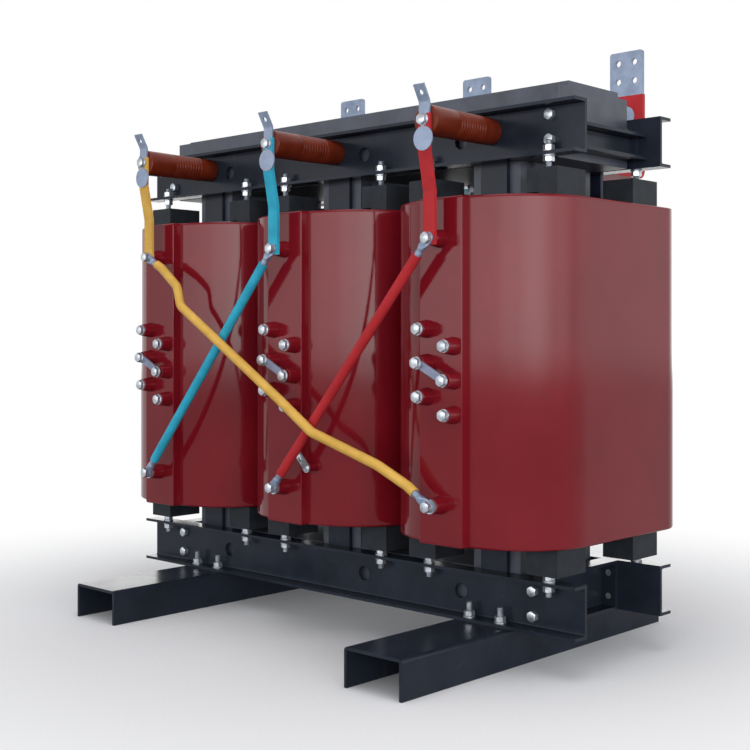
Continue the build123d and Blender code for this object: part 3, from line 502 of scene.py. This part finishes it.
# ---- Operators ---------------------------------------------------------------------------------------
class TRANSFORMER_OT_coils(bpy.types.Operator):
    """Finish the cast coils and the foil windings inside them"""

    bl_idname = "transformer.coils"
    bl_label = "Coils"

    def face(self, crown, corner):
        """One end face's line, from side to side: a crown that runs into two rounded corners."""
        meeting = math.asin((COIL_HALF_X - corner) / (crown - corner))
        points = []
        for i in range(-36, 37):
            turned = math.radians(abs(i) * 2.5)
            if turned <= meeting:
                x, y = crown * math.sin(turned), COIL_HALF_Y - crown * (1 - math.cos(turned))
            else:
                x = COIL_HALF_X - corner * (1 - math.sin(turned))
                y = COIL_HALF_Y - crown + (crown - corner) * math.cos(meeting) + corner * math.cos(turned)
            points.append((math.copysign(x, i), y))
        return points

    def outline(self, sizes):
        """The coil's plan with its pad, anticlockwise from the pad's right edge, about the coil's middle."""
        front = self.face(FRONT_CROWN, sizes.front_corner)
        rear = self.face(REAR_CROWN, REAR_CORNER)
        pad = sizes.pad_width / 2
        root = COIL_HALF_Y - FRONT_CROWN + math.sqrt(FRONT_CROWN ** 2 - (pad + 3 * MM) ** 2)
        # Narrow strips beside each bend keep the wide faces flat under smooth shading.
        edge = [(pad + 4 * MM, root - 0.2 * MM), (pad + 3 * MM, root), (pad + 2.9 * MM, root + MM),
                (pad + 0.3 * MM, PAD_FACE_Y - PAD_NICK - MM), (pad + 0.2 * MM, PAD_FACE_Y - PAD_NICK),
                (pad - 0.3 * MM, PAD_FACE_Y - 0.4 * PAD_NICK), (pad - PAD_NICK, PAD_FACE_Y),
                (pad - PAD_NICK - MM, PAD_FACE_Y)]
        right = edge[::-1] + [p for p in front if p[0] > pad + 8 * MM]
        right.append((COIL_HALF_X, right[-1][1] - 2 * MM))
        left = [(-x, y) for x, y in reversed(right)]
        strip_y = rear[-1][1] - 2 * MM
        rear = [(COIL_HALF_X, strip_y), *rear[::-1], (-COIL_HALF_X, strip_y)]
        return [(x, -y) for x, y in right] + rear + [(x, -y) for x, y in left]

    def inset(self, line, distance):
        """The outline moved inwards by a distance."""
        moved = []
        for before, here, after in zip(line[-1:] + line[:-1], line, line[1:] + line[:1]):
            first = (Vector(here) - Vector(before)).normalized()
            second = (Vector(after) - Vector(here)).normalized()
            inward = Vector((-first.y - second.y, first.x + second.x)) / (1 + first.dot(second))
            moved.append(Vector(here) + inward * distance)
        return moved

    def body(self, bm, centre, low_z, high_z, sizes):
        """The rounded body with its pad and rounded rims, and its open middle."""
        quarter = [math.radians(18 * i) for i in range(6)]
        rounding = [(RIM * (1 - math.sin(a)), RIM * (1 - math.cos(a))) for a in quarter] + [(0.0, RIM + MM)]
        levels = [(low_z + up, inward) for inward, up in rounding]
        levels += [(high_z - up, inward) for inward, up in reversed(rounding)]

        def ring(points, z):
            return [bm.verts.new((centre[0] + x, centre[1] + y, z)) for x, y in points]

        line = self.outline(sizes)
        bore = rounded_rectangle(*BORE_REACH, BORE_CORNER, 12)
        outer = [ring(self.inset(line, inward), z) for z, inward in levels]
        inner = [ring(bore, low_z), ring(bore, high_z)]
        skin(bm, outer)
        skin(bm, inner)
        for pair in ((outer[0], inner[0]), (outer[-1], inner[-1])):
            edges = [bm.edges.get((loop[i], loop[(i + 1) % len(loop)]))
                     for loop in pair for i in range(len(loop))]
            bmesh.ops.triangle_fill(bm, use_beauty=True, edges=edges)

    def bosses(self, bm, centre, tip_y):
        """Two terminal bosses and six tap bosses, tapered and with rounded rims."""
        root_y = centre[1] - PAD_FACE_Y
        length = root_y - tip_y
        knob = [(0, -2 * MM), (22.4 * MM, -2 * MM), (22.0 * MM, MM), (17.8 * MM, length - 3.5 * MM),
                (17.6 * MM, length - 2.5 * MM), (16.9 * MM, length - 0.8 * MM), (15.4 * MM, length),
                (14.4 * MM, length), (0, length)]
        places = [(0, z) for z in reversed(TERMINAL_HEIGHTS)]
        places += [(side * TAP_HALF_SPACING, TAP_TOP_Z - i * TAP_STEP - side * TAP_HALF_STAGGER)
                   for side in (-1, 1) for i in range(3)]
        for x, z in places:
            turn(bm, knob, spin_to((0, -1, 0), Vector((centre[0] + x, root_y, z))), 40)

    def lug_boss(self, bm, centre):
        """The small boss at the pad's right edge that the loose lug is fixed to."""
        foot = Vector((centre[0] + 89 * MM, centre[1] - 330 * MM, 0.455))
        turn(bm, [(0, 0), (12 * MM, 0), (10 * MM, 14 * MM), (10 * MM, 39 * MM), (9 * MM, 40 * MM),
                  (0, 40 * MM)], spin_to((0, -1, 0), foot))

    def coil(self, phase, sizes, resin):
        """A cast coil. The middle one also has the loose lug's boss."""
        low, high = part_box("hv_coil_" + phase)
        centre = ((low.x + high.x) / 2, high.y - COIL_HALF_Y)
        bm = bmesh.new()
        self.body(bm, centre, low.z, high.z, sizes)
        self.bosses(bm, centre, low.y)
        if phase == "b":
            self.lug_boss(bm, centre)
        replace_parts(piece("cast_coil_" + phase, bm, resin, 30.0), "hv_coil_" + phase)

    def execute(self, context):
        colours = context.scene.transformer_colours
        resin = cast_resin(colours)
        foil = moulded_resin("impregnated foil winding", "#23283C", "#343A52", 0.4, 0.5)
        for phase in PHASES:
            self.coil(phase, context.scene.transformer_sizes, resin)
            dress("lv_winding_" + phase, foil)
        return {"FINISHED"}


class TRANSFORMER_OT_core(bpy.types.Operator):
    """Finish the core's stacks of sheet"""

    bl_idname = "transformer.core"
    bl_label = "Core"

    def execute(self, context):
        sheet = sheet_stack(context.scene.transformer_colours)
        for node in ("core_bottom_yoke", "core_top_yoke", "core_limb_a", "core_limb_b", "core_limb_c"):
            dress(node, sheet)
        return {"FINISHED"}


class TRANSFORMER_OT_frame(bpy.types.Operator):
    """Paint the clamps, ties, tie plates and base channels, and finish the coil blocks"""

    bl_idname = "transformer.frame"
    bl_label = "Frame"

    def execute(self, context):
        colours = context.scene.transformer_colours
        paint = painted_steel(colours)
        block = moulded_resin("moulded block resin", colours.block_dark, colours.block_light, 0.5, 0.08)
        painted = ("base_channel", "lower_clamp", "upper_clamp", "lower_end", "upper_end", "tie_plates")
        for node in NODES:
            if node.startswith(painted):
                dress(node, paint)
        dress("lower_blocks", block)
        dress("upper_blocks", block)
        return {"FINISHED"}


class TRANSFORMER_OT_fasteners(bpy.types.Operator):
    """Replace the plain bolts, studs and nuts by ones with chamfers and threads"""

    bl_idname = "transformer.fasteners"
    bl_label = "Fasteners"

    def studs(self, node, sizes, zinc, lift):
        """Threaded studs, trimmed at their free ends. Those that are free below are lifted by as much."""
        bm = bmesh.new()
        for points in islands(node):
            low, high = limits(points)
            foot = Vector(((low.x + high.x) / 2, (low.y + high.y) / 2, low.z + lift))
            threaded_rod(bm, (high.x - low.x) / 2, high.z - low.z - STUD_TRIM, sizes.thread_pitch,
                         spin_to((0, 0, 1), foot))
        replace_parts(piece(node + "_threaded", bm, zinc), node)

    def nuts(self, node, sizes, zinc):
        """Nuts on their washers. The washer is at the end that is wider than the hexagon."""
        bm = bmesh.new()
        for points in islands(node):
            low, high = limits(points)
            middle = (low + high) / 2
            bottom = [p for p in points if abs(p.z - low.z) < LEVEL]
            seat_is_low = max((p.xy - middle.xy).length for p in bottom) > 0.6 * sizes.flats
            up = 1 if seat_is_low else -1
            seat = Vector((middle.x, middle.y, low.z if seat_is_low else high.z))
            self.washer(bm, sizes, (high.x - low.x) / 2, seat, (0, 0, up))
            face = seat + Vector((0, 0, up * sizes.washer))
            hex_prism(bm, sizes.flats, high.z - low.z - sizes.washer, spin_to((0, 0, up), face), True)
        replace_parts(piece(node + "_chamfered", bm, zinc), node)

    def washer(self, bm, sizes, radius, seat, axis):
        """A washer with broken edges."""
        edge = 0.3 * MM
        turn(bm, [(0, 0), (radius - edge, 0), (radius, edge), (radius, sizes.washer - edge),
                  (radius - edge, sizes.washer), (0, sizes.washer)], spin_to(axis, seat))

    def bolts_along_y(self, node, sizes, zinc):
        """Bolts that point away from the row. Those without a head are threaded studs."""
        bm = bmesh.new()
        bare = node in ("frame_bolts", "terminal_bolts")
        for points in islands(node):
            low, high = limits(points)
            outward = -1 if (low.y + high.y) / 2 < ROW_Y else 1
            axis = (0, outward, 0)
            tip_y, end_y = (low.y, high.y) if outward < 0 else (high.y, low.y)
            tip = [p for p in points if abs(p.y - tip_y) < LEVEL]
            centre_x = (min(p.x for p in tip) + max(p.x for p in tip)) / 2
            centre_z = (min(p.z for p in tip) + max(p.z for p in tip)) / 2
            end = Vector((centre_x, end_y, centre_z))
            if max(abs(p.x - centre_x) for p in tip) < SHANK_RADIUS + MM:
                threaded_rod(bm, SHANK_RADIUS, abs(tip_y - end_y), sizes.thread_pitch, spin_to(axis, end))
                continue
            seat = Vector((centre_x, tip_y - outward * (HEAD_HEIGHT + sizes.washer), centre_z))
            if bare:
                hex_prism(bm, sizes.flats, HEAD_HEIGHT + sizes.washer, spin_to(axis, seat))
            else:
                self.washer(bm, sizes, WASHER_RADIUS, seat, axis)
                face = seat + Vector((0, outward * sizes.washer, 0))
                hex_prism(bm, sizes.flats, HEAD_HEIGHT, spin_to(axis, face))
            drum(bm, SHANK_RADIUS, abs(seat.y - end_y), spin_to(axis, end), 20)
            if node == "terminal_bolts" and centre_z < sum(TERMINAL_HEIGHTS) / 2:
                # Packing fills the place that the lead's foot takes at the upper terminals.
                packing = Vector((centre_x, seat.y - outward * PALM_THICKNESS, centre_z))
                drum(bm, PACKING_RADIUS, PACKING_HEIGHT, spin_to((0, -outward, 0), packing))
        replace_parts(piece(node + "_chamfered", bm, zinc), node)

    def foot_bolts(self, node, sizes, zinc):
        """Bolts that stand up through the base channels, with their heads below."""
        bm = bmesh.new()
        for points in islands(node):
            low, high = limits(points)
            foot = Vector(((low.x + high.x) / 2, (low.y + high.y) / 2, low.z)) + Vector((0, 0, HEAD_HEIGHT))
            hex_prism(bm, sizes.flats, HEAD_HEIGHT, spin_to((0, 0, -1), foot))
            threaded_rod(bm, SHANK_RADIUS, high.z - low.z - HEAD_HEIGHT, sizes.thread_pitch,
                         spin_to((0, 0, 1), foot))
        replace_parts(piece(node + "_chamfered", bm, zinc), node)

    def execute(self, context):
        sizes = context.scene.transformer_sizes
        zinc = plated_steel(context.scene.transformer_colours)
        self.studs("lower_studs", sizes, zinc, STUD_TRIM)
        self.studs("upper_studs", sizes, zinc, 0.0)
        for node in ("lower_stud_nuts", "upper_stud_nuts", "foot_nuts"):
            self.nuts(node, sizes, zinc)
        for node in ("frame_bolts", "terminal_bolts", "tap_bolts", "post_bolts"):
            self.bolts_along_y(node, sizes, zinc)
        self.foot_bolts("foot_bolts", sizes, zinc)
        dress("spare_lug", zinc)
        return {"FINISHED"}


class TRANSFORMER_OT_posts(bpy.types.Operator):
    """Replace the posts by turned ones with fine grooves"""

    bl_idname = "transformer.posts"
    bl_label = "Posts"

    def profile(self, length, tip_radius, sizes):
        """A post's profile from its foot to its tip: a slight taper, and a band of soft grooves."""
        root_radius = tip_radius - POST_TAPER
        edge = POST_EDGE

        def radius(y):
            return root_radius + (tip_radius - root_radius) * y / length

        points = [(0, 0), (root_radius - 2 * edge, 0), (root_radius - edge / 2, edge / 2),
                  (root_radius, 2 * edge)]
        first = 0.25 * length
        for i in range(GROOVES):
            y = first + i * sizes.groove_pitch
            for way, depth in ((0.0, 0.0), (0.28, 0.3), (0.5, 1.0), (0.72, 0.3)):
                points.append((radius(y) - depth * sizes.groove_depth, y + way * sizes.groove_pitch))
        y = first + GROOVES * sizes.groove_pitch
        return points + [(radius(y), y), (tip_radius, length - edge / 2), (tip_radius - edge / 2, length),
                         (0, length)]

    def execute(self, context):
        colours = context.scene.transformer_colours
        resin = moulded_resin("brown-red post resin", colours.post_dark, colours.post_light, 0.34, 0.18)
        for phase in PHASES:
            node = "post_insulator_" + phase
            low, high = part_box(node)
            bm = bmesh.new()
            foot = Vector(((low.x + high.x) / 2, high.y, (low.z + high.z) / 2))
            profile = self.profile(high.y - low.y, (high.x - low.x) / 2, context.scene.transformer_sizes)
            turn(bm, profile, spin_to((0, -1, 0), foot), 72)
            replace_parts(piece("grooved_post_" + phase, bm, resin, 45.0), node)
        return {"FINISHED"}


class TRANSFORMER_OT_conductors(bpy.types.Operator):
    """Finish the leads, rods, lugs, bars, links, sleeves and round markers"""

    bl_idname = "transformer.conductors"
    bl_label = "Conductors"

    def lugs(self, tin):
        """Crimp lugs: a round tube pressed flat at one end, with a rounded palm under the bolt."""
        # Distance from the bolt, half width and half thickness, in millimetres.
        sections = [
            (-13.9, 1.2, 2.3), (-13.0, 5.4, 2.5), (-10.5, 9.3, 2.5), (-6.0, 12.7, 2.5), (0.0, 14.0, 2.5),
            (8.0, 13.9, 2.5), (14.0, 13.0, 2.7), (18.5, 11.4, 4.2), (22.5, 9.9, 7.0), (26.0, 9.2, 8.9),
            (35.0, 9.0, 9.0), (36.0, 8.4, 8.4), (40.0, 8.4, 8.4), (41.0, 9.0, 9.0), (51.0, 9.0, 9.0),
        ]
        angles = [2 * math.pi * i / 32 for i in range(32)]
        terminals = [(x, z) for x in PHASE_X for z in TERMINAL_HEIGHTS]
        bm = bmesh.new()
        for points in islands("delta_lugs"):
            low, high = limits(points)
            # Some of the lug's points lie on its bolt hole, and so at a shank's radius from its terminal.
            x, z = min(terminals, key=lambda terminal: min(
                abs(math.dist((p.x, p.z), terminal) - SHANK_RADIUS) for p in points))
            palm = Vector((x, (low.y + high.y) / 2, z))
            far = [p for p in points if (p - palm).length > 50 * MM]
            tip = sum(far, Vector()) / len(far)
            along = Vector((tip.x - x, 0, tip.z - z)).normalized()
            across = Vector((0, 1, 0)).cross(along)
            rings = []
            for way, width, thick in sections:
                # An oblong section is squared off, and a round one stays round.
                power = 1.0 if abs(width - thick) < 0.1 else 0.45
                ring = []
                for angle in angles:
                    c, s = math.cos(angle), math.sin(angle)
                    u = math.copysign(abs(c) ** power, c) * width * MM
                    v = math.copysign(abs(s) ** power, s) * thick * MM
                    ring.append(bm.verts.new(palm + along * way * MM + across * u + Vector((0, v, 0))))
                rings.append(ring)
            skin(bm, rings, capped=True)
        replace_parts(piece("crimp_lugs", bm, tin, 50.0), "delta_lugs")

    def wraps(self, tape):
        """Dark tape wound round the feet of the low-voltage bars, up and over their lower bend."""
        layer, corner, bend = 1.0 * MM, 2 * MM, 20 * MM
        for phase in PHASES:
            low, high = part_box("bar_sleeve_" + phase)
            half_width = (high.x - low.x) / 2 + layer
            half_thick = BAR_SLEEVE_HALF + layer
            foot = Vector(((low.x + high.x) / 2, low.y + BAR_SLEEVE_HALF, low.z + 1 * MM))
            path = [(foot.y, foot.z, 0.0), (foot.y, BAR_RUN_Z - bend, 0.0)]
            for turned in (math.radians(90 * i / 8) for i in range(1, 8)):
                y, z = foot.y + bend * (1 - math.cos(turned)), BAR_RUN_Z - bend + bend * math.sin(turned)
                path.append((y, z, turned))
            path += [(foot.y + bend, BAR_RUN_Z, math.pi / 2), (foot.y + 3 * bend, BAR_RUN_Z, math.pi / 2)]
            section = rounded_rectangle(half_width - corner, half_thick - corner, corner, 3)
            bm = bmesh.new()
            rings = []
            for y, z, turned in path:
                across = Vector((0, math.cos(turned), -math.sin(turned)))
                rings.append([bm.verts.new(Vector((foot.x + u, y, z)) + across * v) for u, v in section])
            skin(bm, rings, capped=True)
            piece("bar_foot_wrap_" + phase, bm, tape, 50.0)

    def execute(self, context):
        colours = context.scene.transformer_colours
        tin = tinned_bar("tinned copper", "#6E7B91", "#828FA5", 0.35)
        disc = tinned_bar("satin aluminium", "#748199", "#8592A9", 0.3)
        sleeves = {
            "a": shrink_sleeve("yellow sleeve", "#C59A48", colours.yellow),
            "b": shrink_sleeve("cyan sleeve", "#2C93AE", colours.cyan),
            "c": shrink_sleeve("red sleeve", "#A3282D", colours.red),
        }
        for phase in PHASES:
            dress("hv_lead_" + phase, tin)
            dress("lv_busbar_" + phase, tin)
            dress("lead_sleeve_" + phase, sleeves[phase])
            dress("delta_rod_" + phase, sleeves[phase])
            dress("bar_sleeve_" + phase, sleeves[phase])
        self.lugs(tin)
        self.wraps(moulded_resin("dark blue wrapping tape", "#1D2234", "#262C42", 0.5, 0.2))
        dress("tap_links", tinned_bar("dull tinned link", "#646A80", "#787E94", 0.3))
        dress("marker_discs", disc)
        return {"FINISHED"}


class TRANSFORMER_OT_stage(bpy.types.Operator):
    """Lay the floor, hang the lamps and set the camera"""

    bl_idname = "transformer.stage"
    bl_label = "Stage"

    def floor(self, context):
        """A pale matt floor that fades to plain white. It throws back less light than it shows."""
        reach = context.scene.transformer_sizes.floor_reach
        bm = bmesh.new()
        bm.faces.new([bm.verts.new((x * reach, y * reach, -0.5 * MM))
                      for x, y in ((-1, -1), (1, -1), (1, 1), (-1, 1))])
        mesh = bpy.data.meshes.new("floor")
        bm.to_mesh(mesh)
        bm.free()
        material, tree, at = new_material("pale studio floor")
        pale = mottle(tree, at, 6, 3.0, 0.6, "#F3F3F4", "#F8F8F9")[1]
        seen = seen_rays(tree)
        colour = add(tree, "ShaderNodeMix", {"data_type": "RGBA"}, Factor=seen, _6=linear("#707072"), _7=pale)
        matt = add(tree, "ShaderNodeBsdfDiffuse", Color=colour.outputs[2])
        white = add(tree, "ShaderNodeEmission", Color=linear("#FFFFFF"), Strength=1.0)
        distance = add(tree, "ShaderNodeVectorMath", {"operation": "LENGTH"}, _0=at)
        fade = add(tree, "ShaderNodeMapRange", {"interpolation_type": "SMOOTHSTEP"},
                   Value=distance.outputs["Value"], From_Min=0.6, From_Max=2.2)
        fade_seen = add(tree, "ShaderNodeMath", {"operation": "MULTIPLY"}, _0=fade.outputs["Result"], _1=seen)
        both = add(tree, "ShaderNodeMixShader", Fac=fade_seen.outputs[0], _1=matt.outputs[0],
                   _2=white.outputs[0])
        finish_shader(tree, both)
        mesh.materials.append(material)
        floor = bpy.data.objects.new("floor", mesh)
        context.scene.collection.objects.link(floor)

    def world(self, context):
        """A soft light from all sides that shows as white."""
        world = bpy.data.worlds.new("studio")
        world.use_nodes = True
        tree = world.node_tree
        tree.nodes.clear()
        soft = add(tree, "ShaderNodeBackground", Color=linear("#E6ECF5"), Strength=0.34)
        white = add(tree, "ShaderNodeBackground", Color=linear("#FFFFFF"), Strength=1.0)
        both = add(tree, "ShaderNodeMixShader", Fac=seen_rays(tree), _1=soft.outputs[0], _2=white.outputs[0])
        output = tree.nodes.new("ShaderNodeOutputWorld")
        tree.links.new(both.outputs[0], output.inputs["Surface"])
        context.scene.world = world

    def lamp(self, context, name, where, aim, width, height, level, fades=None):
        """An area lamp of one level, where 1 is white.

        The fades are the shares of its half width and half height, from the edge inwards, over which its glow
        falls to nothing.
        """
        light = bpy.data.lights.new(name, "AREA")
        light.shape = "RECTANGLE"
        light.size = width
        light.size_y = height
        light.energy = level * math.pi * width * height
        if fades:
            light.use_nodes = True
            tree = light.node_tree
            tree.nodes.clear()
            over = add(tree, "ShaderNodeNewGeometry").outputs["Parametric"]
            sides = add(tree, "ShaderNodeSeparateXYZ", Vector=over)
            glows = []
            for side, share in zip(("X", "Y"), fades):
                twice = add(tree, "ShaderNodeMath", {"operation": "MULTIPLY_ADD"}, _0=sides.outputs[side],
                            _1=2.0, _2=-1.0)
                off = add(tree, "ShaderNodeMath", {"operation": "ABSOLUTE"}, _0=twice.outputs[0])
                fade = add(tree, "ShaderNodeMapRange", {"interpolation_type": "SMOOTHSTEP"},
                           Value=off.outputs[0], From_Min=1.0 - share, To_Min=1.0, To_Max=0.0)
                glows.append(fade.outputs["Result"])
            both = add(tree, "ShaderNodeMath", {"operation": "MULTIPLY"}, _0=glows[0], _1=glows[1])
            glow = add(tree, "ShaderNodeEmission", Strength=both.outputs[0])
            output = add(tree, "ShaderNodeOutputLight")
            tree.links.new(glow.outputs[0], output.inputs["Surface"])
        thing = bpy.data.objects.new(name, light)
        thing.location = where
        thing.rotation_euler = (Vector(aim) - Vector(where)).to_track_quat("-Z", "Y").to_euler()
        context.scene.collection.objects.link(thing)

    def camera(self, context):
        """A level camera at the height of the upper taps, off the right front corner."""
        lens = bpy.data.cameras.new("camera")
        lens.lens = 60.58
        lens.sensor_width = 36.0
        lens.shift_y = -0.0533
        lens.clip_end = 100.0
        thing = bpy.data.objects.new("camera", lens)
        thing.location = (2.4534, -2.5733, 0.7992)
        thing.rotation_euler = Vector((-0.6845, 0.729, 0.0)).to_track_quat("-Z", "Y").to_euler()
        context.scene.collection.objects.link(thing)
        context.scene.camera = thing

    def execute(self, context):
        context.scene.view_settings.view_transform = "Standard"
        self.floor(context)
        self.world(context)
        # Each wall lamp's glow is full down to 0.7 m, just under eye level, and gone at 0.27 m, so that the
        # upright coils mirror it in their upper parts only. Sideways it falls from the lamp's middle to its
        # edges, and so over its neighbours' glow, so that no seam shows.
        for bearing, level in WALL_LAMP_LEVELS.items():
            x = WALL_LAMP_RING * math.cos(math.radians(bearing))
            y = WALL_LAMP_RING * math.sin(math.radians(bearing))
            self.lamp(context, f"wall lamp at {bearing}", (x, y, WALL_LAMP_Z), (0, 0, WALL_LAMP_Z),
                      WALL_LAMP_WIDTH, WALL_LAMP_HEIGHT, level, WALL_LAMP_FADES)
        self.lamp(context, "overhead lamp", (0.6, -0.8, 4.6), (0, 0, 0.6), 3.2, 3.2, 2.2)
        self.camera(context)
        return {"FINISHED"}


class TRANSFORMER_PT_panel(bpy.types.Panel):
    """Lists the pieces and their settings"""

    bl_label = "Transformer"
    bl_idname = "TRANSFORMER_PT_panel"
    bl_space_type = "VIEW_3D"
    bl_region_type = "UI"
    bl_category = "Transformer"

    def draw(self, context):
        for operator in OPERATORS:
            self.layout.operator(operator.bl_idname)
        for group in (context.scene.transformer_colours, context.scene.transformer_sizes):
            box = self.layout.box()
            for name in group.__annotations__:
                box.prop(group, name)


OPERATORS = (
    TRANSFORMER_OT_coils,
    TRANSFORMER_OT_core,
    TRANSFORMER_OT_frame,
    TRANSFORMER_OT_fasteners,
    TRANSFORMER_OT_posts,
    TRANSFORMER_OT_conductors,
    TRANSFORMER_OT_stage,
)
CLASSES = (TransformerColours, TransformerSizes, *OPERATORS, TRANSFORMER_PT_panel)


def register():
    for cls in CLASSES:
        bpy.utils.register_class(cls)
    bpy.types.Scene.transformer_colours = PointerProperty(type=TransformerColours)
    bpy.types.Scene.transformer_sizes = PointerProperty(type=TransformerSizes)


def unregister():
    del bpy.types.Scene.transformer_sizes
    del bpy.types.Scene.transformer_colours
    for cls in reversed(CLASSES):
        bpy.utils.unregister_class(cls)


def main():
    register()
    for operator in OPERATORS:
        group, name = operator.bl_idname.split(".")
        getattr(getattr(bpy.ops, group), name)()


if __name__ == "__main__":
    main()
